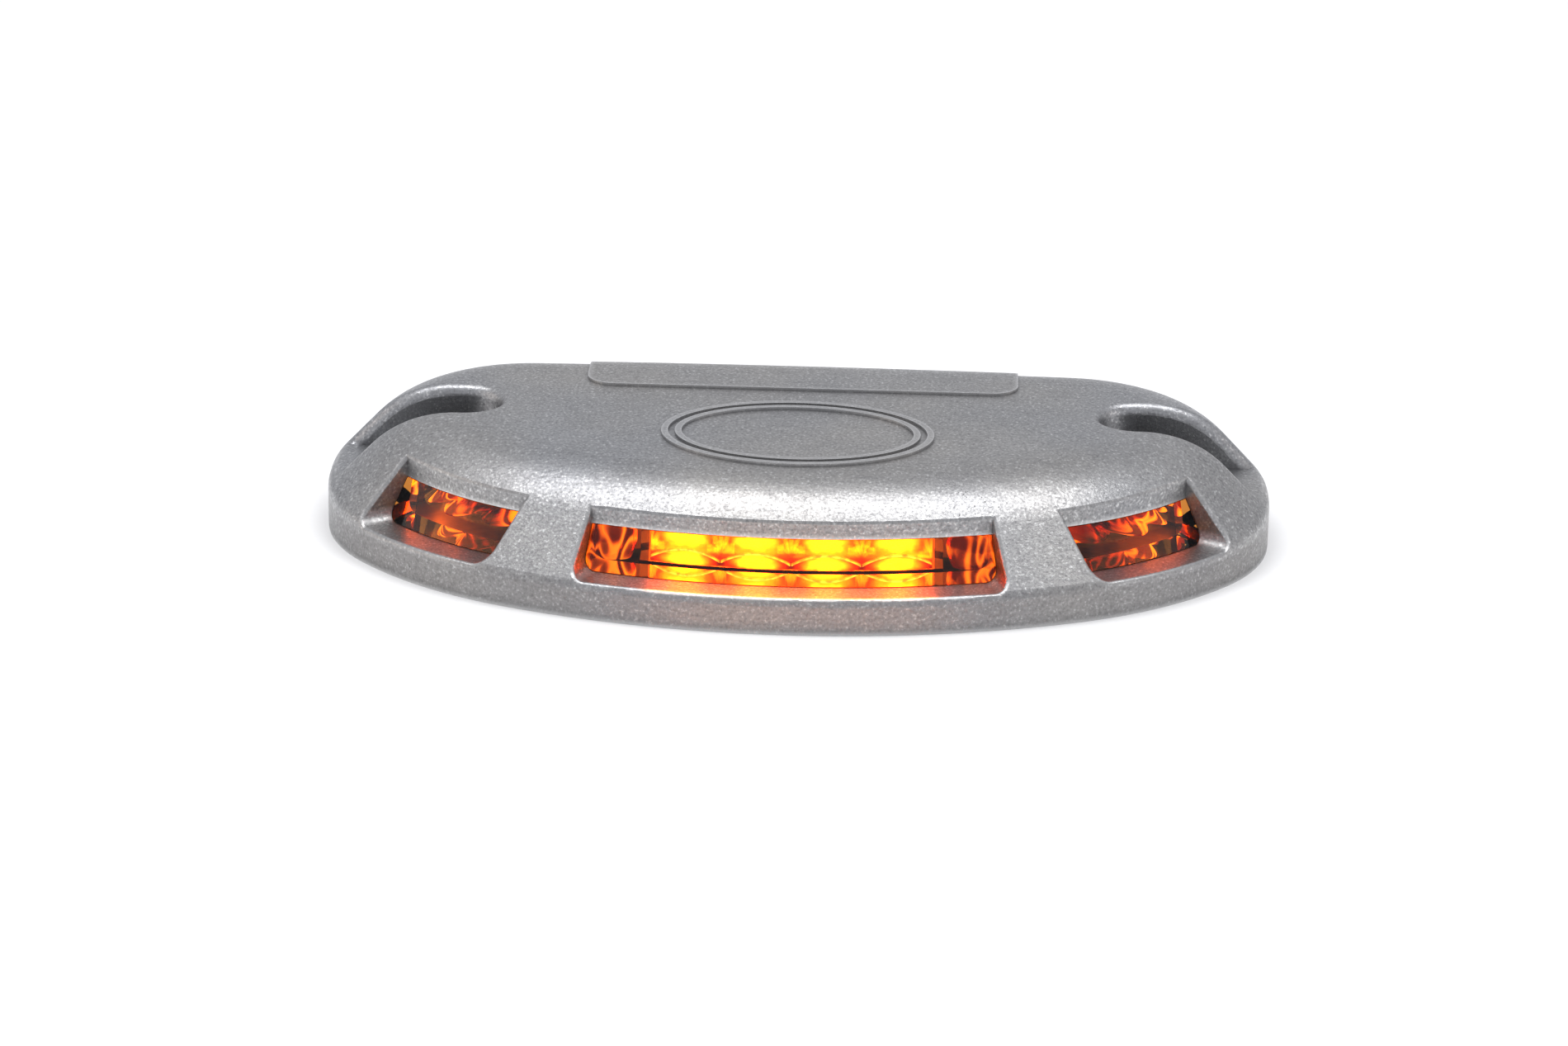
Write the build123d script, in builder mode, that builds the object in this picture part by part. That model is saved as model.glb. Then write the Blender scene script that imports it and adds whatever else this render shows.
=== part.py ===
"""Low-profile LED marker lamp: cast housing, amber lens insert, optics and sealed electronics.

Millimetres. +X right, the lens windows face -Y, +Z up. The origin is the centre of the
footprint, on the mounting surface.
"""
import os
from math import atan, cos, degrees, radians, sin, tan

from build123d import *

os.makedirs("parts", exist_ok=True)

# ---- driving dimensions -------------------------------------------------------------

# plan outline: a chain of tangent arcs from the middle of the front round to the rear
HALF_WIDTH = 70.0
BACK_DEPTH = 33.0             # from the widest line to the rear
NOSE_RADIUS, NOSE_TURN = 106.0, 23.0
CHEEK_RADIUS, CHEEK_TURN = 56.0, 28.0
CORNER_RADIUS = 30.0
REAR_TURN = 2.2               # half of the arc that the rear edge turns through

# section of the body
HEIGHT = 18.5
SKIRT = 5.0                   # height of the upright edge at the front
FACE_ANGLE = 47.0             # slope of the face above it
CROWN_RADIUS = 16.0           # rounding from the face to the flat top
FORM_SHIFT = 2.0              # the sloped form sits this far behind the footprint
CREASE_RADIUS = 2.0           # rounding between the upright edge and the face

# screw notches
HOLE_SPACING = 100.0
NOTCH_BEHIND = 1.8            # notch line behind the widest line
NOTCH_WIDTH = 11.0
LEDGE = 8.8                   # height that the screw head seats at
SCREW_HOLE = 6.5
NOTCH_LIP = 1.6

# lens windows; points are from the widest line
RECESS = 8.4                  # the recess wall stands this far inside the footprint
LENS_FOOT = 5.0               # the lens leans back from here to the recess wall
SILL = 5.4
LENS_TOP = 11.5
RIM_RADIUS = 0.6
SILL_RADIUS = 2.0
WINDOW_WALL = 1.2
LENS_THICK = 2.0
MIDDLE_POINT, MIDDLE_SPLAY = (28.9, -32.4), 20.0
INNER_POINT, INNER_SPLAY = (39.0, -28.6), 42.0
OUTER_POINT, OUTER_SPLAY = (57.3, -14.1), 56.0

# raised cast details on the top
OVAL_HALF = (20.0, 14.2)
OVAL_BEHIND = -10.6
OVAL_BAND = 1.0
RAISE = 0.4
PLATE_HALF, PLATE_FRONT, PLATE_CORNER = 32.4, 9.5, 4.0

# hollow and underside
CEILING, LOW_CEILING = 15.5, 13.0
CROWN_INSET = 16.0            # the hollow reaches the full ceiling this far inside
NOTCH_KEEP = (41.5, -6.9)     # the hollow stops here beside each notch
BASE_GAP, BASE_THICK, GASKET_THICK, BASE_RIM = 0.2, 1.8, 0.6, 2.4
COVER_SCREWS = [(46.0, -10.2), (35.5, 17.5)]
BOARD_SCREWS = [(26.0, -13.0), (26.0, 15.0)]
SPREADER_SCREW = (16.0, -16.0)
COVER_BOSS, COVER_HEAD, COVER_HEAD_DEPTH, COVER_SHANK = 3.5, 2.7, 1.3, 1.45
BOARD_BOSS = 2.5
CLEAR = 0.1                   # general fitting clearance

# light engine
LED_PITCH, LED_COUNT = 10.0, 4
LED_SIZE, LED_HEIGHT, LED_AXIS = 3.5, 0.8, 8.0
LED_BOARD = (46.0, 1.6, 8.2)
BOARD_FRONT = -25.2
OPTIC_HALF, OPTIC_SAG, OPTIC_BACK = 20.0, 4.2, -26.3
TRAY_FLOOR, TRAY_SHEET, TRAY_DEPTH = 5.2, 0.8, 9.0
TRAY_CHEEK = (1.2, 3.6)       # the upright ends of the tray
PRISM_CORNERS = [(37.0, -34.0), (37.0, -18.5), (38.5, -16.5), (52.3, -15.0), (60.3, -15.5), (60.3, -34.0)]
PRISM_SCOOP, PRISM_SCOOP_RADIUS = (40.5, -15.5), 5.0
SPREADER_LEG, SPREADER_REACH, SPREADER_FOOT, SPREADER_TOP = 2.0, 13.0, 6.2, 15.0
SPREADER_HALF = 21.5
SCREW_CLEAR = 1.4             # radius of a clearance hole for a small screw

PAN_RADIUS, PAN_HEIGHT, PAN_SHANK = 2.375, 1.5, 1.2

# driver electronics
DRIVER_BOARD = (60.0, 34.0, 1.6)
DRIVER_CENTRE, DRIVER_Z = 1.5, 7.0
GROMMET_AT, GROMMET_HOLE, CABLE = (0.0, 13.0), 9.0, 5.2

# ---- derived places -----------------------------------------------------------------

nose, cheek = radians(NOSE_TURN), radians(NOSE_TURN + CHEEK_TURN)
END_RADIUS = (HALF_WIDTH - NOSE_RADIUS * sin(nose) - CHEEK_RADIUS * (sin(cheek) - sin(nose))) / (
    1 - sin(cheek)
)
FRONT_DEPTH = (
    NOSE_RADIUS * (1 - cos(nose))
    + CHEEK_RADIUS * (cos(nose) - cos(cheek))
    + END_RADIUS * cos(cheek)
)
rear = radians(REAR_TURN)
REAR_RADIUS = CORNER_RADIUS + (HALF_WIDTH - CORNER_RADIUS) / sin(rear)
SIDE_RUN = BACK_DEPTH - CORNER_RADIUS * cos(rear) - REAR_RADIUS * (1 - cos(rear))
WIDEST = (FRONT_DEPTH - BACK_DEPTH) / 2
NOTCH_Y = WIDEST + NOTCH_BEHIND
LENS_INSET = RECESS + WINDOW_WALL
OPTIC_INSET = LENS_INSET + LENS_THICK + 0.3
REBATE = BASE_GAP + BASE_THICK + GASKET_THICK
BASE_TOP = BASE_GAP + BASE_THICK
DRIVER_TOP = DRIVER_Z + DRIVER_BOARD[2]
BIG = 200.0                   # cuts right through
SIDE_LENGTH = 45.0            # longer than any window's side wall


def both_sides(point):
    """A point given from the widest line, and its mirror image, in the part's frame."""
    x, y = point
    return [(side * x, y + WIDEST) for side in (-1, 1)]


def export(piece, name):
    """Label a finished piece and write its STEP file."""
    piece.label = name
    export_step(piece, f"parts/{name}.step")


# ---- shared shapes ------------------------------------------------------------------

def plan(grow=0.0, shift=0.0):
    """The footprint's outline, moved parallel to itself by grow and backwards by shift."""
    with BuildSketch() as outline:
        with BuildLine():
            front = (0, WIDEST - FRONT_DEPTH - grow + shift)
            middle = JernArc(front, (1, 0), NOSE_RADIUS + grow, NOSE_TURN)
            shoulder = JernArc(middle @ 1, middle % 1, CHEEK_RADIUS + grow, CHEEK_TURN)
            end = JernArc(shoulder @ 1, shoulder % 1, END_RADIUS + grow, 90 - NOSE_TURN - CHEEK_TURN)
            side = Line(end @ 1, end @ 1 + Vector(0, SIDE_RUN))
            corner = JernArc(side @ 1, (0, 1), CORNER_RADIUS + grow, 90 - REAR_TURN)
            JernArc(corner @ 1, corner % 1, REAR_RADIUS + grow, REAR_TURN)
            mirror(about=Plane.YZ)
        make_face()
    return outline.sketch


def form(grow=0.0):
    """The body without its notches and windows, grown outwards by grow on the top and faces."""
    skirt = SKIRT + grow * tan(radians(90 - FACE_ANGLE) / 2)
    with BuildPart() as body:
        with BuildSketch():
            add(plan(FORM_SHIFT + grow, FORM_SHIFT))
        extrude(amount=skirt)
        with BuildSketch(Plane.XY.offset(skirt)):
            add(plan(FORM_SHIFT + grow, FORM_SHIFT))
        extrude(amount=HEIGHT + grow - skirt, taper=90 - FACE_ANGLE)
        fillet(body.edges().group_by(Axis.Z)[-1], CROWN_RADIUS + grow)
        with BuildSketch():
            add(plan(grow))
        extrude(amount=BIG, mode=Mode.INTERSECT)
    return body.part


def side_line(point, splay, ahead):
    """A point on a window's side wall: ahead of the given point, out along the wall."""
    return (
        point[0] + ahead * sin(radians(splay)),
        point[1] + WIDEST - ahead * cos(radians(splay)),
    )


def window_fields(trim=0.0):
    """Plan areas of the three windows, narrowed by trim on each side wall."""
    inward, outward = -6, 40
    with BuildSketch() as fields:
        middle = (MIDDLE_POINT[0] - trim, MIDDLE_POINT[1])
        near, far = side_line(middle, MIDDLE_SPLAY, inward), side_line(middle, MIDDLE_SPLAY, outward)
        with BuildLine():
            Polyline(near, far, (-far[0], far[1]), (-near[0], near[1]), close=True)
        make_face()
        inner = (INNER_POINT[0] + trim, INNER_POINT[1] + trim)
        outer = (OUTER_POINT[0] - trim, OUTER_POINT[1] - trim)
        with BuildLine():
            Polyline(
                side_line(inner, INNER_SPLAY, inward),
                side_line(inner, INNER_SPLAY, outward),
                side_line(outer, OUTER_SPLAY, outward),
                side_line(outer, OUTER_SPLAY, inward),
                close=True,
            )
        make_face()
        mirror(fields.sketch, about=Plane.YZ)
    return fields.sketch


def hollow_plan(rim=0.0):
    """Plan of the hollow, widened by rim: inside the lens, and clear of both notches."""
    keep_x, keep_y = NOTCH_KEEP[0] + rim, NOTCH_KEEP[1] + WIDEST + rim
    with BuildSketch() as area:
        add(plan(rim - LENS_INSET))
        for side in (-1, 1):
            with Locations((side * (keep_x + BIG / 2), keep_y + BIG / 2)):
                Rectangle(BIG, BIG, mode=Mode.SUBTRACT)
    return area.sketch


# ---- housing ------------------------------------------------------------------------

def on_surface(shape, point):
    """True where a point lies on one of a shape's faces."""
    return any(face.distance_to(point) < 0.002 for face in shape.faces())


def rim_edges(body, cutter, skin):
    """The edges where a cutter has broken through the skin of a body."""
    return [
        edge
        for edge in body.edges()
        if all(on_surface(shape, edge @ t) for shape in (cutter, skin) for t in (0.3, 0.6))
    ]


def side_edges(edges):
    """The straight edges that run along the windows' side walls."""
    return [edge for edge in edges.filter_by(GeomType.LINE) if edge.length < SIDE_LENGTH]


# window recesses: an upright wall behind a level sill, with splayed side walls
with BuildPart() as recess:
    with BuildSketch(Plane.XY.offset(SILL)):
        add(window_fields())
        add(plan(-RECESS), mode=Mode.SUBTRACT)
    extrude(amount=BIG)
    fillet(side_edges(recess.edges().group_by(Axis.Z)[0]), SILL_RADIUS)

# screw notches: open at their outer ends, down to a ledge that carries the screw head
with BuildPart() as notches:
    with BuildSketch(Plane.XY.offset(LEDGE)):
        for side in (-1, 1):
            with Locations((side * HOLE_SPACING / 2, NOTCH_Y)):
                Circle(NOTCH_WIDTH / 2)
            with Locations((side * (HOLE_SPACING / 2 + NOTCH_WIDTH * 2), NOTCH_Y)):
                Rectangle(NOTCH_WIDTH * 4, NOTCH_WIDTH)
    extrude(amount=BIG)

# raised details: a blank oval cartouche, and a blank plate that runs over the rear edge
with BuildPart() as raised:
    add(form(RAISE))
    with BuildSketch():
        with Locations((0, OVAL_BEHIND + WIDEST)):
            for inset in (0, OVAL_BAND * 2):
                Ellipse(OVAL_HALF[0] - inset, OVAL_HALF[1] - inset)
                inset += OVAL_BAND
                Ellipse(OVAL_HALF[0] - inset, OVAL_HALF[1] - inset, mode=Mode.SUBTRACT)
        with Locations((0, PLATE_FRONT + WIDEST + BIG / 2)):
            RectangleRounded(PLATE_HALF * 2, BIG, PLATE_CORNER)
    extrude(amount=BIG, mode=Mode.INTERSECT)
    with BuildSketch():
        add(plan(-RECESS))
    extrude(amount=BIG, mode=Mode.INTERSECT)

with BuildPart() as housing:
    add(form())
    crease = [
        edge
        for edge in housing.edges()
        if SKIRT - 1 < edge.center().Z < LEDGE + 3 and edge.bounding_box().size.Z < edge.length / 2
    ]
    fillet(crease, CREASE_RADIUS)
    skin = housing.part
    add(notches.part, mode=Mode.SUBTRACT)
    fillet(rim_edges(housing, notches.part, skin), NOTCH_LIP)
    add(recess.part, mode=Mode.SUBTRACT)
    fillet(rim_edges(housing, recess.part, skin), RIM_RADIUS)
    add(raised.part)

    # apertures for the lens pads, then the hollow, its deeper crown and the base rebate
    with BuildSketch(Plane.XY.offset(SILL)):
        add(window_fields())
        add(plan(-RECESS + 1), mode=Mode.INTERSECT)
        add(plan(-LENS_INSET - 1), mode=Mode.SUBTRACT)
    extrude(amount=LENS_TOP - SILL, mode=Mode.SUBTRACT)
    with BuildSketch():
        add(hollow_plan())
    extrude(amount=LOW_CEILING, mode=Mode.SUBTRACT)
    with BuildSketch():
        add(hollow_plan())
        add(plan(-CROWN_INSET), mode=Mode.INTERSECT)
    extrude(amount=CEILING, mode=Mode.SUBTRACT)
    with BuildSketch():
        add(hollow_plan(BASE_RIM))
    extrude(amount=REBATE, mode=Mode.SUBTRACT)

    # bosses for the base plate and the driver board, and blind holes for every inner screw
    with BuildSketch(Plane.XY.offset(BASE_TOP)):
        with Locations(*[spot for point in COVER_SCREWS for spot in both_sides(point)]):
            Circle(COVER_BOSS)
    extrude(until=Until.NEXT)
    with BuildSketch(Plane.XY.offset(DRIVER_TOP)):
        with Locations(*[spot for point in BOARD_SCREWS for spot in both_sides(point)]):
            Circle(BOARD_BOSS)
    extrude(until=Until.NEXT)
    screw_holes = (
        (COVER_SCREWS, BASE_TOP, 3.0, 8.0),
        (BOARD_SCREWS, DRIVER_TOP, 2.5, 4.6),
        ([SPREADER_SCREW], CEILING, 2.5, 1.8),
    )
    for points, start, diameter, depth in screw_holes:
        with BuildSketch(Plane.XY.offset(start)):
            with Locations(*[spot for point in points for spot in both_sides(point)]):
                Circle(diameter / 2)
        extrude(amount=depth, mode=Mode.SUBTRACT)
    with BuildSketch():
        with Locations((-HOLE_SPACING / 2, NOTCH_Y), (HOLE_SPACING / 2, NOTCH_Y)):
            Circle(SCREW_HOLE / 2)
    extrude(amount=LEDGE, mode=Mode.SUBTRACT)
export(housing.part, "housing")

# ---- lens insert ----------------------------------------------------------------------

with BuildPart() as lean:
    with BuildSketch(Plane.XY.offset(SILL)):
        add(plan(-LENS_FOOT))
    lean_angle = degrees(atan((RECESS - LENS_FOOT) / (LENS_TOP - SILL)))
    extrude(amount=LENS_TOP - SILL, taper=lean_angle)

with BuildPart() as pads:
    with BuildSketch(Plane.XY.offset(SILL + CLEAR)):
        add(window_fields(CLEAR))
        add(plan(-LENS_FOOT), mode=Mode.INTERSECT)
        add(plan(-LENS_INSET - 1), mode=Mode.SUBTRACT)
    extrude(amount=LENS_TOP - SILL - 2 * CLEAR)
    fillet(side_edges(pads.edges().group_by(Axis.Z)[0]), SILL_RADIUS - CLEAR)
    add(lean.part, mode=Mode.INTERSECT)

with BuildPart() as outer_lens:
    with BuildSketch(Plane.XY.offset(REBATE + CLEAR)):
        add(plan(-LENS_INSET - CLEAR))
        add(plan(-LENS_INSET - LENS_THICK), mode=Mode.SUBTRACT)
        with Locations((0, OUTER_POINT[1] + WIDEST + 2 + BIG / 2)):
            Rectangle(BIG, BIG, mode=Mode.SUBTRACT)
    extrude(amount=LOW_CEILING - REBATE - 2 * CLEAR)
    add(pads.part)
export(outer_lens.part, "outer_lens")

# ---- base plate, its gasket, screws and cable grommet ---------------------------------

grommet_at = (GROMMET_AT[0], GROMMET_AT[1] + WIDEST)
cover_spots = [spot for point in COVER_SCREWS for spot in both_sides(point)]

with BuildPart() as base_plate:
    with BuildSketch(Plane.XY.offset(BASE_GAP)):
        add(hollow_plan(BASE_RIM - CLEAR))
        with Locations(grommet_at):
            Circle(GROMMET_HOLE / 2, mode=Mode.SUBTRACT)
    extrude(amount=BASE_THICK)
    with Locations(Plane.XY.offset(BASE_GAP).rotated((180, 0, 0))):
        with Locations(*[(x, -y) for x, y in cover_spots]):
            CounterSinkHole(1.6, 2.8)
export(base_plate.part, "base_plate")

with BuildPart() as base_gasket:
    with BuildSketch(Plane.XY.offset(BASE_TOP)):
        add(hollow_plan(BASE_RIM - CLEAR))
        add(hollow_plan(CLEAR), mode=Mode.SUBTRACT)
        with Locations(*cover_spots):
            Circle(COVER_BOSS + CLEAR, mode=Mode.SUBTRACT)
    extrude(amount=GASKET_THICK)
export(base_gasket.part, "base_gasket")

with BuildPart() as cover_screws:
    with BuildSketch(Plane.XY.offset(BASE_GAP)):
        with Locations(*cover_spots):
            Circle(COVER_HEAD)
    extrude(amount=COVER_HEAD_DEPTH, taper=44)
    with BuildSketch(Plane.XY.offset(BASE_GAP + COVER_HEAD_DEPTH - CLEAR)):
        with Locations(*cover_spots):
            Circle(COVER_SHANK)
    extrude(amount=7.5)
    with BuildSketch(Plane.XY.offset(BASE_GAP)):
        with Locations(*cover_spots):
            RegularPolygon(1.0, 6)
    extrude(amount=0.9, mode=Mode.SUBTRACT)
export(cover_screws.part, "cover_screws")

bore = CABLE / 2
neck = GROMMET_HOLE / 2 - CLEAR / 2
flange = GROMMET_HOLE / 2 + 1.4
with BuildPart() as cable_grommet:
    with BuildSketch(Plane.XZ.offset(-grommet_at[1])):
        with BuildLine():
            Polyline(
                (bore, BASE_GAP),
                (neck, BASE_GAP),
                (neck, BASE_TOP),
                (flange, BASE_TOP),
                (flange, BASE_TOP + 1.2),
                (bore + 0.8, BASE_TOP + 3.0),
                (bore, BASE_TOP + 3.0),
                close=True,
            )
        make_face()
    revolve(axis=Axis(Vector(0, grommet_at[1], 0), (0, 0, 1)))
export(cable_grommet.part, "cable_grommet")

# ---- light engine -------------------------------------------------------------------

led_x = [(i - (LED_COUNT - 1) / 2) * LED_PITCH for i in range(LED_COUNT)]
board_y = WIDEST + BOARD_FRONT
optic_back = WIDEST + OPTIC_BACK

with BuildPart() as reflector_tray:
    with BuildSketch(Plane.XY.offset(TRAY_FLOOR - TRAY_SHEET)):
        with Locations((0, board_y - 2 * CLEAR)):
            Rectangle(OPTIC_HALF * 2 + 3, TRAY_DEPTH, align=(Align.CENTER, Align.MAX))
        add(plan(-LENS_INSET - LENS_THICK - CLEAR), mode=Mode.INTERSECT)
    extrude(amount=TRAY_SHEET)
    with BuildSketch(Plane.XY.offset(TRAY_FLOOR)):
        for side in (-1, 1):
            with Locations((side * (OPTIC_HALF + 0.9), board_y - 2 * CLEAR)):
                Rectangle(TRAY_CHEEK[0], TRAY_CHEEK[1], align=(Align.CENTER, Align.MAX))
    extrude(amount=LENS_TOP - TRAY_FLOOR)
export(reflector_tray.part, "reflector_tray")

with BuildPart() as optic_bar:
    with BuildSketch(Plane.XY.offset(TRAY_FLOOR)):
        for x in led_x:
            with BuildLine():
                left = (x - LED_PITCH / 2, optic_back - OPTIC_SAG)
                right = (x + LED_PITCH / 2, optic_back - OPTIC_SAG)
                ThreePointArc(left, (x, optic_back), right)
                Line(left, right)
            make_face()
        with Locations((0, optic_back - OPTIC_SAG)):
            Rectangle(OPTIC_HALF * 2, 6.0, align=(Align.CENTER, Align.MAX))
        add(plan(-OPTIC_INSET), mode=Mode.INTERSECT)
    extrude(amount=LENS_TOP - TRAY_FLOOR)
export(optic_bar.part, "optic_bar")

for side, name in ((-1, "side_prism_left"), (1, "side_prism_right")):
    with BuildPart() as side_prism:
        with BuildSketch(Plane.XY.offset(TRAY_FLOOR)):
            with BuildLine():
                Polyline([(side * x, WIDEST + y) for x, y in PRISM_CORNERS], close=True)
            make_face()
            add(plan(-OPTIC_INSET), mode=Mode.INTERSECT)
            with Locations((side * PRISM_SCOOP[0], WIDEST + PRISM_SCOOP[1])):
                Circle(PRISM_SCOOP_RADIUS, mode=Mode.SUBTRACT)
        extrude(amount=LENS_TOP - TRAY_FLOOR)
        chamfer(side_prism.edges().group_by(Axis.Z)[-1].sort_by(Axis.Y)[-1], 1.2)
    export(side_prism.part, name)

with BuildPart() as led_board:
    with Locations((0, board_y, LED_AXIS)):
        Box(LED_BOARD[0], LED_BOARD[1], LED_BOARD[2], align=(Align.CENTER, Align.MIN, Align.CENTER))
export(led_board.part, "led_board")

with BuildPart() as leds:
    for x in led_x:
        with Locations((x, board_y, LED_AXIS)):
            Box(LED_SIZE, LED_HEIGHT, LED_SIZE, align=(Align.CENTER, Align.MAX, Align.CENTER))
    chamfer(leds.faces().group_by(Axis.Y)[0].edges(), 0.2)
export(leds.part, "leds")

leg_y = board_y + LED_BOARD[1]
spreader_under = SPREADER_TOP - SPREADER_LEG
with BuildPart() as heat_spreader:
    with BuildSketch(Plane.YZ):
        with BuildLine():
            FilletPolyline(
                (leg_y, SPREADER_FOOT),
                (leg_y + SPREADER_LEG, SPREADER_FOOT),
                (leg_y + SPREADER_LEG, spreader_under),
                (leg_y + SPREADER_REACH, spreader_under),
                (leg_y + SPREADER_REACH, SPREADER_TOP),
                (leg_y, SPREADER_TOP),
                close=True,
                radius=0.4,
            )
        make_face()
    extrude(amount=SPREADER_HALF, both=True)
    with BuildSketch(Plane.XY.offset(spreader_under)):
        with Locations(*both_sides(SPREADER_SCREW)):
            Circle(SCREW_CLEAR)
    extrude(amount=SPREADER_LEG, mode=Mode.SUBTRACT)
export(heat_spreader.part, "heat_spreader")

with BuildPart() as thermal_pad:
    with BuildSketch(Plane.XY.offset(SPREADER_TOP)):
        with Locations((0, leg_y + SPREADER_REACH / 2)):
            Rectangle(SPREADER_HALF * 2 - 1, SPREADER_REACH - 1)
        with Locations(*both_sides(SPREADER_SCREW)):
            Circle(SCREW_CLEAR, mode=Mode.SUBTRACT)
    extrude(amount=CEILING - SPREADER_TOP)
export(thermal_pad.part, "thermal_pad")


def pan_screws(points, seat, length):
    """Small pan-head screws pushed up through a seat, with a hexagon drive in each head."""
    with BuildPart() as screws:
        with BuildSketch(Plane.XY.offset(seat - PAN_HEIGHT)):
            with Locations(*points):
                Circle(PAN_RADIUS)
        extrude(amount=PAN_HEIGHT)
        fillet(screws.edges().group_by(Axis.Z)[0], PAN_HEIGHT * 0.35)
        with BuildSketch(Plane.XY.offset(seat)):
            with Locations(*points):
                Circle(PAN_SHANK)
        extrude(amount=length)
        with BuildSketch(Plane.XY.offset(seat - PAN_HEIGHT)):
            with Locations(*points):
                RegularPolygon(1.0, 6)
        extrude(amount=PAN_HEIGHT * 0.6, mode=Mode.SUBTRACT)
    return screws.part


export(pan_screws(both_sides(SPREADER_SCREW), spreader_under, 4.0), "spreader_screws")

# ---- driver electronics ---------------------------------------------------------------

driver_y = WIDEST + DRIVER_CENTRE
board_spots = [spot for point in BOARD_SCREWS for spot in both_sides(point)]

with BuildPart() as driver_board:
    with BuildSketch(Plane.XY.offset(DRIVER_Z)):
        with Locations((0, driver_y)):
            RectangleRounded(DRIVER_BOARD[0], DRIVER_BOARD[1], 2.0)
        with Locations(*board_spots):
            Circle(SCREW_CLEAR, mode=Mode.SUBTRACT)
    extrude(amount=DRIVER_BOARD[2])
export(driver_board.part, "driver_board")
export(pan_screws(board_spots, DRIVER_Z, 5.6), "board_screws")


def component(centre, size):
    """A block-shaped component standing on the driver board."""
    x, y = centre
    with Locations((x, driver_y + y, DRIVER_TOP)):
        Box(*size, align=(Align.CENTER, Align.CENTER, Align.MIN))


with BuildPart() as inductor:
    component((-14, 2), (7.3, 7.3, 4.0))
    fillet(inductor.edges().filter_by(Axis.Z), 1.2)
    fillet(inductor.faces().sort_by(Axis.Z)[-1].edges(), 0.5)
export(inductor.part, "inductor")

with BuildPart() as driver_ic:
    component((0, 0), (5.0, 4.0, 1.4))
    chamfer(driver_ic.faces().sort_by(Axis.Z)[-1].edges(), 0.2)
    for side in (-1, 1):
        for i in range(4):
            component((-1.9 + 1.27 * i, side * 2.5), (0.4, 1.0, 0.3))
export(driver_ic.part, "driver_ic")

with BuildPart() as input_capacitors:
    with BuildSketch(Plane.XY.offset(DRIVER_TOP)):
        with Locations((13, driver_y + 6), (20.5, driver_y + 6)):
            Circle(3.15)
    extrude(amount=5.4)
    fillet(input_capacitors.edges().group_by(Axis.Z)[-1], 0.5)
export(input_capacitors.part, "input_capacitors")

with BuildPart() as ceramic_capacitors:
    for x, y in ((-6, 8), (-2.5, 8), (1, 8), (7, -3), (7, -7)):
        component((x, y), (2.0, 1.25, 1.0))
export(ceramic_capacitors.part, "ceramic_capacitors")

with BuildPart() as resistors:
    for x, y in ((-8, -6), (-4.5, -6), (-1, -6), (2.5, -6), (-8, -9), (-4.5, -9)):
        component((x, y), (1.6, 0.8, 0.5))
export(resistors.part, "resistors")

with BuildPart() as bridge_diodes:
    for y in (-9, -3):
        component((14, y), (4.4, 2.6, 2.2))
        component((14, y), (5.4, 1.5, 0.6))
export(bridge_diodes.part, "bridge_diodes")

with BuildPart() as surge_suppressor:
    component((20, -6), (4.6, 3.8, 2.3))
    chamfer(surge_suppressor.faces().sort_by(Axis.Z)[-1].edges(), 0.3)
export(surge_suppressor.part, "surge_suppressor")

with BuildPart() as terminal_block:
    block_y = grommet_at[1] - 14.0
    with Locations((0, block_y, DRIVER_Z)):
        Box(10, 6, 3.8, align=(Align.CENTER, Align.CENTER, Align.MAX))
    chamfer(terminal_block.edges().group_by(Axis.Z)[0].sort_by(Axis.Y)[-1], 0.8)
    with BuildSketch(Plane.XZ.offset(-block_y - 3)):
        with Locations((-2.5, DRIVER_Z - 1.8), (2.5, DRIVER_Z - 1.8)):
            Circle(1.1)
    extrude(amount=4.5, mode=Mode.SUBTRACT)
export(terminal_block.part, "terminal_block")

with BuildPart() as link_header:
    pin_y = driver_y - DRIVER_BOARD[1] / 2 + 1.6
    with Locations((0, pin_y, DRIVER_Z)):
        Box(10.6, 2.4, 2.0, align=(Align.CENTER, Align.CENTER, Align.MAX))
    for i in range(4):
        with Locations(((i - 1.5) * 2.54, leg_y, DRIVER_Z - 1.6)):
            Box(0.6, pin_y - leg_y, 0.6, align=(Align.CENTER, Align.MIN, Align.CENTER))
export(link_header.part, "link_header")
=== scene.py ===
from math import asin, cos, degrees, pi, radians, sin

import bmesh
import bpy
from mathutils import Matrix, Vector


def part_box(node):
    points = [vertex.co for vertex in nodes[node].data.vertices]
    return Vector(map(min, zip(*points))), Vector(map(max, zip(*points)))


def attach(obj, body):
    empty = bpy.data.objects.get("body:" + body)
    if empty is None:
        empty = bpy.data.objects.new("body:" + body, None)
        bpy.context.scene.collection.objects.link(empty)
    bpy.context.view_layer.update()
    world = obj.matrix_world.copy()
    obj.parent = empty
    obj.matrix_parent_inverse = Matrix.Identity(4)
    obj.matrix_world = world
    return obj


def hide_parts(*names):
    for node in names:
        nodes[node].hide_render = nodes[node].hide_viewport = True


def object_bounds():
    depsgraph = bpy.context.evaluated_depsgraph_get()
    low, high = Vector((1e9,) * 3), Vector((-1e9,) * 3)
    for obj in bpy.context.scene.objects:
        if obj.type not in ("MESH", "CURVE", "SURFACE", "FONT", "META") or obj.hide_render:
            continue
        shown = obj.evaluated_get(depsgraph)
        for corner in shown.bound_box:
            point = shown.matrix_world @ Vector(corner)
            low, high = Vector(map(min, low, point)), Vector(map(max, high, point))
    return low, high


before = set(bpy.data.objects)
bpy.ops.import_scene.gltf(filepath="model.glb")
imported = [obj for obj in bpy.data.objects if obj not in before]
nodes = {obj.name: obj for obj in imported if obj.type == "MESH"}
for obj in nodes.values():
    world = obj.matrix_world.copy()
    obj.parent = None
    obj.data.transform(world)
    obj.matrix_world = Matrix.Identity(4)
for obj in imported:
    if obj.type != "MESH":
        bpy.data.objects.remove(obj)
cad_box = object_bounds()

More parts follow.
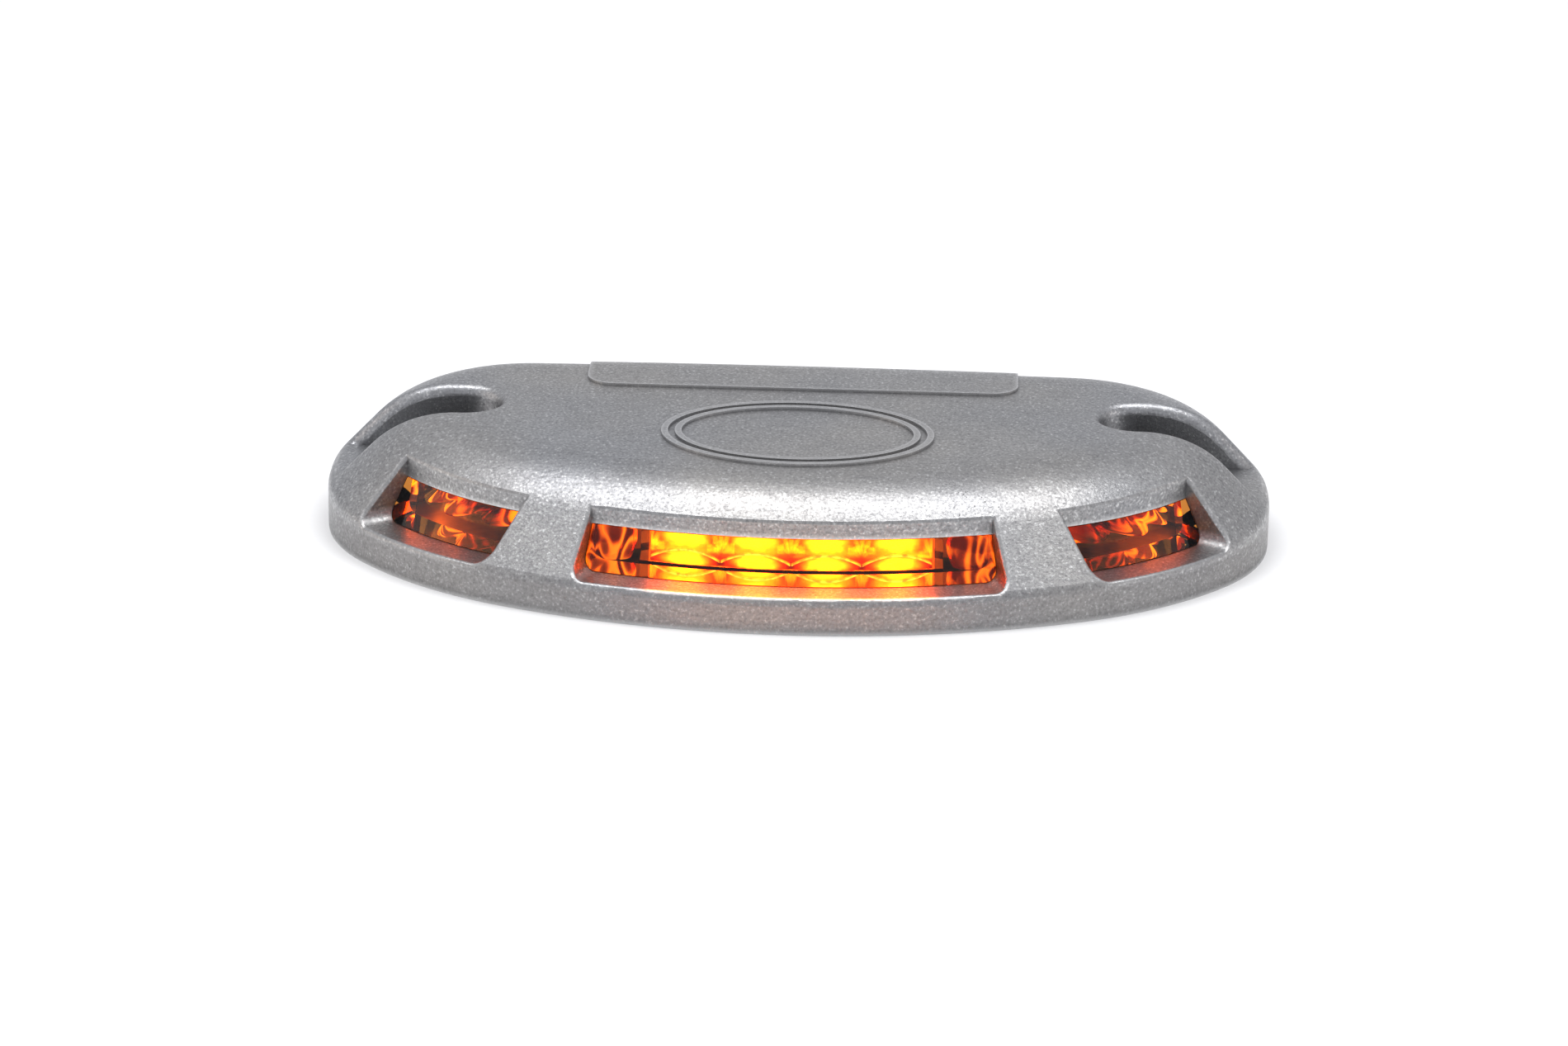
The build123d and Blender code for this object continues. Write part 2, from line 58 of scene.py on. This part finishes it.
scene = bpy.context.scene
MM = 0.001

optic_low, optic_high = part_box("optic_bar")
tray_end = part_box("reflector_tray")[1].x / MM
lens_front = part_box("outer_lens")[0].y
led_low, led_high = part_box("leds")

LED_PITCH, LED_COUNT = 10.0, 4
ROW_HALF = LED_PITCH * LED_COUNT / 2
LED_AXIS = (led_low.z + led_high.z) / 2 / MM


# ---- camera, world and light ----------------------------------------------------------

DISTANCE = 0.8
ELEVATION, AZIMUTH, ROLL = 20.0, -1.5, 1.123
LENS_MM, SHIFT = 123.0, (-0.0087, 0.0035)
AIM = Vector((0, 0.005669, 0))


def add_camera():
    a, e, r = radians(AZIMUTH), radians(ELEVATION), radians(ROLL)
    ahead = Vector((sin(a) * cos(e), cos(a) * cos(e), -sin(e)))
    right = ahead.cross(Vector((0, 0, 1))).normalized()
    up = right.cross(ahead)
    tilted_right = right * cos(r) + up * sin(r)
    tilted_up = up * cos(r) - right * sin(r)
    data = bpy.data.cameras.new("camera")
    data.lens, data.sensor_width = LENS_MM, 36.0
    data.shift_x, data.shift_y = SHIFT
    data.clip_start, data.clip_end = 0.01, 20.0
    camera = bpy.data.objects.new("camera", data)
    scene.collection.objects.link(camera)
    turn = Matrix((tilted_right, tilted_up, -ahead)).transposed().to_4x4()
    camera.matrix_world = Matrix.Translation(AIM - ahead * DISTANCE) @ turn
    scene.camera = camera


def add_light(name, place, aim, size, power, colour=(1, 1, 1), size_y=None):
    data = bpy.data.lights.new(name, "AREA")
    data.energy, data.size, data.color = power, size, colour
    if size_y:
        data.shape, data.size_y = "RECTANGLE", size_y
    light = bpy.data.objects.new(name, data)
    scene.collection.objects.link(light)
    light.location = place
    light.rotation_euler = (Vector(aim) - Vector(place)).to_track_quat("-Z", "Y").to_euler()
    return light


add_camera()
scene.view_settings.view_transform = "Standard"

world = bpy.data.worlds.new("studio")
scene.world = world
world.use_nodes = True
world.node_tree.nodes["Background"].inputs["Color"].default_value = (0.97, 0.98, 1.02, 1)
world.node_tree.nodes["Background"].inputs["Strength"].default_value = 0.72

add_light("overhead", (0, 0.0, 0.75), (0, 0.0, 0), 0.9, 3.8, size_y=0.16)
add_light("left_wall", (-0.8, -0.1, 0.22), (0, 0, 0), 0.6, 0.7, (1, 0.87, 0.76))
add_light("right_wall", (0.8, -0.1, 0.22), (0, 0, 0), 0.6, 0.35, (1, 0.90, 0.82))

# amber light that the lens throws onto the sill and the window's walls
glow_place = Vector((0, lens_front - 0.83 * MM, 9.8 * MM))
glow_fall = Vector((0, -5.5 * MM, -5.8 * MM))
glow = add_light(
    "lens_glow", glow_place, glow_place + glow_fall, 0.042, 0.0045, (1, 0.30, 0.03), size_y=0.003
)
glow.visible_camera = False


# ---- node materials -------------------------------------------------------------------

class Look:
    """A node-based material whose patterns are in millimetres in the part's own frame."""

    def __init__(self, name):
        self.material = bpy.data.materials.new(name)
        self.material.use_nodes = True
        self.tree = self.material.node_tree
        self.shader = self.tree.nodes["Principled BSDF"]
        coords = self.node("ShaderNodeTexCoord").outputs["Object"]
        self.mm = self.vector("SCALE", coords, scale=1 / MM)

    def node(self, kind, **fields):
        made = self.tree.nodes.new(kind)
        for field, value in fields.items():
            setattr(made, field, value)
        return made

    def put(self, socket, value):
        if isinstance(value, bpy.types.NodeSocket):
            self.tree.links.new(value, socket)
        elif hasattr(socket.default_value, "__len__") and not hasattr(value, "__len__"):
            socket.default_value = [value] * len(socket.default_value)
        elif hasattr(value, "__len__") and len(socket.default_value) == 4 and len(value) == 3:
            socket.default_value = (*value, 1)
        else:
            socket.default_value = value

    def set(self, **values):
        for name, value in values.items():
            self.put(self.shader.inputs[name.replace("_", " ")], value)
        return self

    def vector(self, operation, a, b=(0, 0, 0), scale=1.0):
        made = self.node("ShaderNodeVectorMath", operation=operation)
        self.put(made.inputs[0], a)
        self.put(made.inputs[1], b)
        made.inputs[3].default_value = scale
        return made.outputs["Value" if operation in ("LENGTH", "DISTANCE") else "Vector"]

    def math(self, operation, a, b=0.0, c=0.0, clamp=False):
        made = self.node("ShaderNodeMath", operation=operation, use_clamp=clamp)
        for socket, value in zip(made.inputs, (a, b, c)):
            self.put(socket, value)
        return made.outputs[0]

    def axis(self, name, source=None):
        made = self.node("ShaderNodeSeparateXYZ")
        self.put(made.inputs[0], source or self.mm)
        return made.outputs[name]

    def noise(self, size, detail=2.0, rough=0.5, stretch=(1, 1, 1), seed=0.0, warp=0.0):
        """Soft noise whose lumps are about size mm across."""
        made = self.node("ShaderNodeTexNoise", noise_dimensions="4D")
        place = self.vector("MULTIPLY", self.mm, [1 / v for v in stretch])
        for name, value in dict(Vector=place, W=seed, Scale=1 / size, Detail=detail,
                                Roughness=rough, Distortion=warp).items():
            self.put(made.inputs[name], value)
        return made.outputs["Fac"]

    def cells(self, size, feature="F1", output="Distance", stretch=(1, 1, 1), seed=0.0):
        made = self.node("ShaderNodeTexVoronoi", voronoi_dimensions="4D", feature=feature)
        place = self.vector("MULTIPLY", self.mm, [1 / v for v in stretch])
        for name, value in dict(Vector=place, W=seed, Scale=1 / size).items():
            self.put(made.inputs[name], value)
        return made.outputs[output]

    def span(self, value, low, high, to_low=0.0, to_high=1.0, smooth=False):
        made = self.node("ShaderNodeMapRange", clamp=True)
        made.interpolation_type = "SMOOTHSTEP" if smooth else "LINEAR"
        for socket, v in zip(made.inputs, (value, low, high, to_low, to_high)):
            self.put(socket, v)
        return made.outputs[0]

    def mix(self, factor, a, b, blend="MIX"):
        made = self.node("ShaderNodeMix", data_type="RGBA", blend_type=blend, clamp_factor=True)
        for socket, value in ((made.inputs[0], factor), (made.inputs[6], a), (made.inputs[7], b)):
            self.put(socket, value)
        return made.outputs[2]

    def relief(self, height, depth, under=None, strength=1.0):
        """A bump of the given depth in mm."""
        made = self.node("ShaderNodeBump")
        made.inputs["Strength"].default_value = strength
        made.inputs["Distance"].default_value = depth * MM
        self.put(made.inputs["Height"], height)
        if under:
            self.put(made.inputs["Normal"], under)
        return made.outputs[0]

    def nearness(self, distance, inside=False):
        """Occlusion by nearby surfaces: dark in corners, or on edges when taken inside."""
        made = self.node("ShaderNodeAmbientOcclusion", samples=6, inside=inside)
        made.inputs["Distance"].default_value = distance * MM
        return made.outputs["AO"]


def cast_aluminium():
    look = Look("cast_aluminium")
    cloud = look.noise(11, detail=3, rough=0.6)
    warmth = look.noise(30, detail=1, seed=3)
    fleck = look.noise(0.42, detail=4, rough=0.7, seed=2)
    grain = look.noise(0.22, detail=3, rough=0.7, seed=5)
    scratch = look.noise(0.5, detail=4, rough=0.6, stretch=(14, 1, 1), seed=8)
    # occlusion mask for painted shade in corners and recesses
    painted_crevice_shade = look.nearness(2.0)
    edge = look.nearness(0.8, inside=True)

    base = look.mix(look.span(warmth, 0.35, 0.65), (0.35, 0.355, 0.37), (0.385, 0.375, 0.365))
    base = look.mix(look.span(cloud, 0.3, 0.62, 0.35, 0), base, (0.26, 0.26, 0.27))
    base = look.mix(look.span(fleck, 0.34, 0.49, 0.6, 0), base, (0.13, 0.13, 0.135))
    base = look.mix(look.span(fleck, 0.55, 0.66, 0, 0.75), base, (0.78, 0.78, 0.78))
    base = look.mix(look.span(scratch, 0.38, 0.48, 0.3, 0), base, (0.20, 0.20, 0.205))
    # base colour darker towards the bottom, below 5.8 mm
    skirt = look.span(look.axis("Z"), 4.0, 5.8, 0.45, 0, smooth=True)
    base = look.mix(skirt, base, (0.17, 0.16, 0.155))
    crowd = look.span(look.noise(7, detail=3, seed=11), 0.46, 0.68)
    pit = look.span(look.cells(0.55, seed=1), look.math("MULTIPLY", crowd, 0.28), 0.0)
    pit = look.math("MULTIPLY", pit, look.span(crowd, 0.0, 0.2))
    base = look.mix(look.math("MULTIPLY", pit, 0.9), base, (0.06, 0.058, 0.055))
    # painted shade: base colour darkened where nearby surfaces occlude, in corners and recesses
    base = look.mix(look.span(painted_crevice_shade, 0.4, 0.95, 0.7, 0), base, (0.16, 0.16, 0.165))
    base = look.mix(look.span(edge, 0.5, 0.95, 0.55, 0), base, (0.86, 0.86, 0.86))

    rough = look.span(fleck, 0.34, 0.66, 0.44, 0.28)
    rough = look.math("ADD", rough, look.math("MULTIPLY", pit, 0.3))
    rough = look.math("SUBTRACT", rough, look.span(edge, 0.5, 0.95, 0.1, 0), clamp=True)
    bumps = look.relief(cloud, 0.12)
    bumps = look.relief(fleck, 0.035, bumps)
    bumps = look.relief(grain, 0.03, bumps)
    bumps = look.relief(look.math("SUBTRACT", 1.0, pit), 0.06, bumps)
    return look.set(Base_Color=base, Metallic=1.0, Roughness=rough, Normal=bumps)


def amber_lens():
    look = Look("amber_lens")
    tint = (1.0, 0.36, 0.06)
    grain = look.noise(2.5, detail=2)
    colour = look.mix(look.span(grain, 0.35, 0.65), tint, [c * 0.88 for c in tint])
    return look.set(Base_Color=colour, Roughness=look.span(grain, 0.3, 0.7, 0.0, 0.03),
                    Transmission_Weight=1.0, IOR=1.36)


def cell_distance(look, x):
    """Distance in mm from the middle of the cell of the LED row that x is in."""
    along = look.math("MODULO", look.math("ADD", x, ROW_HALF), LED_PITCH)
    return look.math("SUBTRACT", along, LED_PITCH / 2)


def axis_distance(look):
    """Distance in mm from the nearest LED's axis."""
    cell = cell_distance(look, look.axis("X"))
    rise = look.math("SUBTRACT", look.axis("Z"), LED_AXIS)
    squares = look.math("ADD", look.math("POWER", cell, 2.0), look.math("POWER", rise, 2.0))
    return look.math("SQRT", squares)


def blob(look, cell, z, centre, wide, tall):
    """Distance from the middle of an oval patch of light, as a share of its size."""
    across = look.math("DIVIDE", cell, wide)
    rise = look.math("DIVIDE", look.math("SUBTRACT", z, centre), tall)
    squares = look.math("ADD", look.math("POWER", across, 2.0), look.math("POWER", rise, 2.0))
    return look.math("SQRT", squares)


def optic_with_painted_glow():
    """Amber light guide with painted glow: emission paints a bright patch for each LED and a painted
    reflection of it in the tray, over a dimmer painted glow across each cell.
    """
    look = Look("amber_optic")
    x, z = look.axis("X"), look.axis("Z")
    cell = cell_distance(look, x)
    wobble = look.noise(1.6, detail=2, seed=6)
    sway = look.math("MULTIPLY_ADD", wobble, 1.2, look.math("SUBTRACT", z, 0.6))
    # painted glow: upper patch, lower patch (the LED's painted reflection) and a dimmer glow across
    # each cell
    upper = look.span(blob(look, cell, sway, 9.4, 4.4, 2.0), 0.3, 1.0, 6.5, 0, smooth=True)
    lower = look.span(blob(look, cell, sway, 5.9, 4.2, 1.6), 0.25, 1.0, 6.5, 0, smooth=True)
    ground = look.span(look.math("ABSOLUTE", cell), 3.2, 5.0, 0.9, 0.12, smooth=True)
    light = look.math("ADD", look.math("ADD", upper, lower), ground)
    light = look.math("MULTIPLY", light, look.span(wobble, 0.3, 0.7, 0.7, 1.25))
    middle = look.math("LESS_THAN", look.math("ABSOLUTE", x), ROW_HALF)
    light = look.math("MULTIPLY", light, middle)
    colour = look.mix(look.span(light, 0.4, 4.5), (1.0, 0.11, 0.004), (1.0, 0.50, 0.03))
    return look.set(Base_Color=(1.0, 0.24, 0.02), Roughness=look.span(wobble, 0.3, 0.7, 0.02, 0.1),
                    Transmission_Weight=0.85, IOR=1.5, Emission_Color=colour, Emission_Strength=light,
                    Normal=look.relief(wobble, 0.03))


def reflector():
    """Metallised amber: dark brown folds with painted orange and yellow streaks of glow in the
    emission, and painted light and dark bands in the base colour.
    """
    look = Look("amber_reflector_painted_glow")
    x = look.axis("X")
    swirl = look.noise(6.5, detail=1, rough=0.4, stretch=(1, 1, 1.5), seed=9, warp=1.2)
    turns = look.math("FRACT", look.math("MULTIPLY", swirl, 5.0))
    band = look.math("ABSOLUTE", look.math("SUBTRACT", turns, 0.5))
    out = look.math("ABSOLUTE", x)
    outer = look.span(out, 45.5, 52.0, 0.10, 1.6, smooth=True)
    inner = look.span(out, 39.5, 43.5, 1.6, 0.0, smooth=True)
    centre = look.math("LESS_THAN", out, 32.0)
    ends = look.math("MULTIPLY", centre, look.span(out, 19.0, 28.5, 0.75, 0.28))
    side = look.math("MULTIPLY", look.math("MAXIMUM", outer, inner), look.math("SUBTRACT", 1.0, centre))
    reach = look.math("ADD", side, ends)
    # painted glow: emission streaks along the bands, strongest at the window ends
    light = look.math("MULTIPLY", look.span(band, 0.2, 0.48, 0.0, 2.6, smooth=True), reach)
    light = look.math("ADD", light, look.math("MULTIPLY", reach, 0.22))
    colour = look.mix(look.span(light, 0.15, 1.4), (1.0, 0.07, 0.004), (1.0, 0.34, 0.02))
    base = look.mix(look.span(band, 0.1, 0.45), (0.16, 0.035, 0.01), (0.95, 0.32, 0.05))
    return look.set(Base_Color=base, Metallic=1.0, Roughness=look.span(swirl, 0.3, 0.7, 0.08, 0.22),
                    Emission_Color=colour, Emission_Strength=light, Normal=look.relief(band, 0.15))


def bead():
    # painted glow: emission with painted sparkle, brighter near the middle of each LED's cell
    look = Look("amber_bead_painted_glow")
    cell = cell_distance(look, look.axis("X"))
    sparkle = look.noise(0.8, detail=2, seed=3)
    light = look.math("MULTIPLY", look.span(sparkle, 0.35, 0.65, 1.2, 4.5),
                      look.span(look.math("ABSOLUTE", cell), 1.0, 5.0, 1.2, 0.6))
    return look.set(Base_Color=(1.0, 0.5, 0.1), Roughness=0.1, Emission_Color=(1.0, 0.50, 0.06),
                    Emission_Strength=light, Normal=look.relief(sparkle, 0.02))


def metallised():
    look = Look("metallised_tray")
    ripple = look.noise(3.0, detail=2)
    colour = look.mix(look.span(ripple, 0.3, 0.7), (0.86, 0.80, 0.74), (0.78, 0.70, 0.62))
    rough = look.span(ripple, 0.3, 0.7, 0.05, 0.12)
    return look.set(Base_Color=colour, Metallic=1.0, Roughness=rough, Normal=look.relief(ripple, 0.02))


def led_package():
    look = Look("led_package")
    die = look.span(axis_distance(look), 1.15, 1.45, 1, 0, smooth=True)
    speck = look.noise(0.3, detail=3)
    return look.set(Base_Color=look.mix(die, (0.85, 0.84, 0.80), (1.0, 0.65, 0.1)), Roughness=0.35,
                    Emission_Color=(1.0, 0.62, 0.12),
                    Emission_Strength=look.math("MULTIPLY", die, 14.0),
                    Normal=look.relief(speck, 0.01))


def white_board():
    look = Look("white_board")
    inside = look.math("LESS_THAN", look.math("ABSOLUTE", look.axis("X")), ROW_HALF)
    # painted glow: orange emission on the board, strongest around each LED
    near = look.span(axis_distance(look), 1.5, 6.0, 3.0, 0.15, smooth=True)
    speck = look.noise(0.5, detail=3)
    base = look.mix(speck, (0.86, 0.86, 0.83), (0.92, 0.92, 0.90))
    return look.set(Base_Color=base, Roughness=0.45, Emission_Color=(1.0, 0.40, 0.03),
                    Emission_Strength=look.math("MULTIPLY", near, inside),
                    Normal=look.relief(speck, 0.01))


def plain(name, colour, metallic=0.0, rough=0.5, grain=0.8, depth=0.015, vary=0.15, stretch=(1, 1, 1)):
    """A finish with fine grain in its colour, roughness and relief."""
    look = Look(name)
    fine = look.noise(grain, detail=4, rough=0.6, stretch=stretch)
    broad = look.noise(grain * 8, detail=2, seed=4)
    both = look.math("MULTIPLY_ADD", fine, 0.6, look.math("MULTIPLY", broad, 0.4))
    dark = [c * (1 - vary) for c in colour]
    light = [min(1.0, c * (1 + vary)) for c in colour]
    return look.set(Base_Color=look.mix(look.span(both, 0.35, 0.65), dark, light), Metallic=metallic,
                    Roughness=look.span(fine, 0.3, 0.7, rough - 0.08, rough + 0.08),
                    Normal=look.relief(fine, depth))


looks = {
    "cast_aluminium": cast_aluminium(),
    "amber_lens": amber_lens(),
    "amber_optic": optic_with_painted_glow(),
    "metallised_tray": metallised(),
    "led_package": led_package(),
    "white_board": white_board(),
    "bare_aluminium": plain("bare_aluminium", (0.72, 0.72, 0.74), 1.0, 0.32, stretch=(6, 1, 1)),
    "thermal_pad": plain("thermal_pad", (0.35, 0.45, 0.60), 0.0, 0.8),
    "zinc_steel": plain("zinc_steel", (0.68, 0.69, 0.72), 1.0, 0.28, grain=0.3),
    "green_board": plain("green_board", (0.05, 0.25, 0.12), 0.0, 0.4, grain=0.5),
    "black_epoxy": plain("black_epoxy", (0.04, 0.04, 0.045), 0.0, 0.55, grain=0.2),
    "ferrite": plain("ferrite", (0.16, 0.16, 0.17), 0.0, 0.7, grain=0.3),
    "capacitor_can": plain("capacitor_can", (0.75, 0.76, 0.78), 1.0, 0.25, stretch=(1, 1, 6)),
    "ceramic": plain("ceramic", (0.55, 0.45, 0.33), 0.0, 0.4, grain=0.2),
    "terminal_plastic": plain("terminal_plastic", (0.12, 0.30, 0.50), 0.0, 0.5, grain=0.3),
    "base_plate": plain("base_plate", (0.60, 0.61, 0.63), 1.0, 0.38, grain=0.6, stretch=(8, 1, 1)),
    "black_rubber": plain("black_rubber", (0.05, 0.05, 0.05), 0.0, 0.8, grain=0.4, depth=0.03),
}
for node in nodes.values():
    for index, old in enumerate(node.data.materials):
        slot = old.name.split(".")[0]
        node.data.materials[index] = looks[slot].material


# ---- pieces seen through the lens -----------------------------------------------------

NOSE, CHEEK = (106.0, 23.0), (56.0, 51.0)     # radius and turn at the end of each front arc
FRONT_Y, HALF_WIDTH = cad_box[0][1] / MM, cad_box[1][0] / MM
nose_out, cheek_out = sin(radians(NOSE[1])), sin(radians(CHEEK[1]))
arcs_out = NOSE[0] * nose_out + CHEEK[0] * (cheek_out - nose_out)
END_RADIUS = (HALF_WIDTH - arcs_out) / (1 - cheek_out)
OPTIC_INSET = round(optic_low.y / MM - FRONT_Y, 1)
FLOOR_Z, ROOF_Z = optic_low.z / MM + 0.05, optic_high.z / MM - 0.1
SCROLL_X, SCROLL_Y = tray_end + 3.7, optic_high.y / MM - 2.77
BEAD_RADIUS, BEAD_TOP, BEAD_SAG, BEAD_HALF = 0.2, 7.5, 0.062, 4.9


def front_point(turn, inset):
    """A point in mm on a curve parallel to the front edge, where it has turned by so many degrees."""
    x, y, radius = 0.0, FRONT_Y + NOSE[0], NOSE[0]
    for end, tighter in ((NOSE[1], CHEEK[0]), (CHEEK[1], END_RADIUS)):
        if turn > end:
            x += (radius - tighter) * sin(radians(end))
            y -= (radius - tighter) * cos(radians(end))
            radius = tighter
    return x + (radius - inset) * sin(radians(turn)), y - (radius - inset) * cos(radians(turn))


def add_piece(name, rows, material, thick=0.0, closed=False):
    """A smooth sheet or tube through rows of points in mm, riding on the body."""
    made = bmesh.new()
    grid = [[made.verts.new([v * MM for v in point]) for point in row] for row in rows]
    for low, high in zip(grid, grid[1:]):
        pairs = list(zip(range(len(low) - 1), range(1, len(low))))
        if closed:
            pairs.append((len(low) - 1, 0))
        for a, b in pairs:
            made.faces.new((low[a], low[b], high[b], high[a]))
    if closed:
        made.faces.new(grid[0])
        made.faces.new(list(reversed(grid[-1])))
    bmesh.ops.recalc_face_normals(made, faces=made.faces)
    for face in made.faces:
        face.smooth = True
    mesh = bpy.data.meshes.new(name)
    made.to_mesh(mesh)
    made.free()
    piece = bpy.data.objects.new(name, mesh)
    scene.collection.objects.link(piece)
    mesh.materials.append(material)
    if thick:
        solid = piece.modifiers.new("sheet", "SOLIDIFY")
        solid.thickness, solid.offset = thick * MM, 0
    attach(piece, "root")
    return piece


reflector_painted_glow_look = reflector().material
bead_painted_glow_look = bead().material


def add_side_reflector(side, name):
    """Folded reflector that stands in a side window."""
    rows = []
    columns, levels = 90, 18
    for i in range(columns + 1):
        share = i / columns
        turn = 22 + 46 * share
        row = []
        for j in range(levels + 1):
            rise = j / levels
            wave = share * 5.2 + 0.55 * sin(rise * pi) + 0.25 * rise
            fold = abs(sin(wave * pi)) + 0.35 * sin(wave * 2.3 + 1)
            x, y = front_point(turn, OPTIC_INSET + 2.6 - 1.7 * fold + 0.9 * rise)
            row.append((side * x, y, FLOOR_Z + (ROOF_Z - FLOOR_Z) * rise))
        rows.append(row)
    piece = add_piece(name, rows, reflector_painted_glow_look, thick=0.3)
    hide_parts(name.replace("side_reflector", "side_prism"))


def add_end_reflector(side, name):
    """Scrolled reflector beside the row of light guides."""
    rows = []
    columns, levels = 60, 14
    for i in range(columns + 1):
        share = i / columns
        angle = -0.6 + share * 2.4 * pi
        radius = 3.4 - 2.2 * share
        row = []
        for j in range(levels + 1):
            rise = j / levels
            lean = 0.8 * sin(rise * pi)
            x = SCROLL_X + (radius + lean) * cos(angle)
            y = SCROLL_Y - (radius + lean) * 0.42 * sin(angle)
            row.append((side * x, y, FLOOR_Z + (ROOF_Z - FLOOR_Z) * rise))
        rows.append(row)
    add_piece(name, rows, reflector_painted_glow_look, thick=0.25)


def add_foot_bead(x0, name):
    """The rounded foot of one light guide: a bead that arches up over its LED's image."""
    rows = []
    steps, sides = 28, 10
    for i in range(steps + 1):
        across = BEAD_HALF * (2 * i / steps - 1)
        x = x0 + across
        turn = degrees(asin(x / (NOSE[0] - OPTIC_INSET)))
        _, y = front_point(turn, OPTIC_INSET - 0.15)
        z = BEAD_TOP - BEAD_SAG * across ** 2
        around = [2 * pi * k / sides for k in range(sides)]
        rows.append([(x, y + BEAD_RADIUS * cos(a), z + BEAD_RADIUS * sin(a)) for a in around])
    add_piece(name, rows, bead_painted_glow_look, closed=True)


for side, hand in ((-1, "left"), (1, "right")):
    add_side_reflector(side, "side_reflector_" + hand)
    add_end_reflector(side, "end_reflector_" + hand)
for index in range(LED_COUNT):
    add_foot_bead((index - (LED_COUNT - 1) / 2) * LED_PITCH, f"foot_bead_{index + 1}")


def add_floor():
    mesh = bpy.data.meshes.new("floor")
    reach = 3.0
    corners = [(-reach, -reach, 0), (reach, -reach, 0), (reach, reach, 0), (-reach, reach, 0)]
    mesh.from_pydata(corners, [], [(0, 1, 2, 3)])
    floor = bpy.data.objects.new("floor", mesh)
    scene.collection.objects.link(floor)
    look = Look("floor")
    tone = look.noise(60, detail=2)
    look.set(Base_Color=look.mix(tone, (0.95, 0.95, 0.95), (0.97, 0.97, 0.97)), Roughness=0.5)
    mesh.materials.append(look.material)


add_floor()
